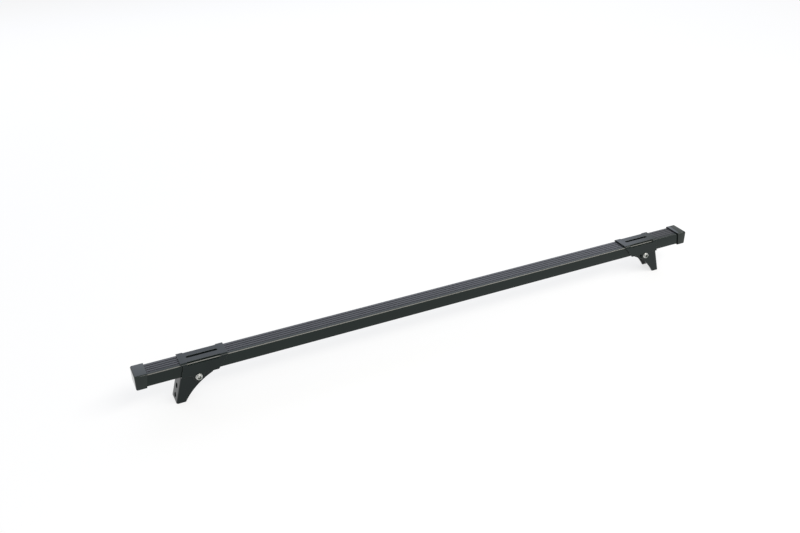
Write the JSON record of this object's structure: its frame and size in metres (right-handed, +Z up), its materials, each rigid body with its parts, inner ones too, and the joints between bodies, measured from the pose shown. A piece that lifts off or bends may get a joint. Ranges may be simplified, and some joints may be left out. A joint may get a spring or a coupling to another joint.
{
  "type": "roof rack crossbar",
  "caption": "Straight ribbed rectangular load bar with closed end caps and a splayed foot near each end, clamped by a slotted sliding collar and a cross screw.",
  "frame": {"origin": "centre of the bounding box in X and Y, at the height of the legs' lower edges", "axes": "+X along the bar towards the right end cap as seen from the front, +Y towards the back, where the lock nuts are, +Z up"},
  "size_m": [1.12, 0.0538, 0.0753],
  "materials": {
    "tube_steel": "plain steel tube, hidden inside the sleeve",
    "sleeve_plastic": "black extruded plastic coating, satin, fine grooves along the top",
    "cap_plastic": "black moulded plastic, smooth",
    "coated_steel": "black powder coat, semi-gloss",
    "zinc_plated": "bright zinc plate"
  },
  "bodies": {
    "bar": {"bar_tube": "tube_steel", "bar_sleeve": "sleeve_plastic", "end_cap_left": "cap_plastic", "end_cap_right": "cap_plastic"},
    "foot_left": {"left_collar": "coated_steel", "left_leg": "coated_steel", "left_clamp_screw": "zinc_plated", "left_washer": "zinc_plated", "left_lock_nut": "zinc_plated"},
    "foot_right": {"right_collar": "coated_steel", "right_leg": "coated_steel", "right_clamp_screw": "zinc_plated", "right_washer": "zinc_plated", "right_lock_nut": "zinc_plated"}
  },
  "joints": [
    {"name": "foot_left_slide", "type": "slide", "parent": "bar", "child": "foot_left", "axis": [1, 0, 0], "range_m": [-0.052, 0.405]},
    {"name": "foot_right_slide", "type": "slide", "parent": "bar", "child": "foot_right", "axis": [-1, 0, 0], "range_m": [-0.052, 0.405]}
  ]
}
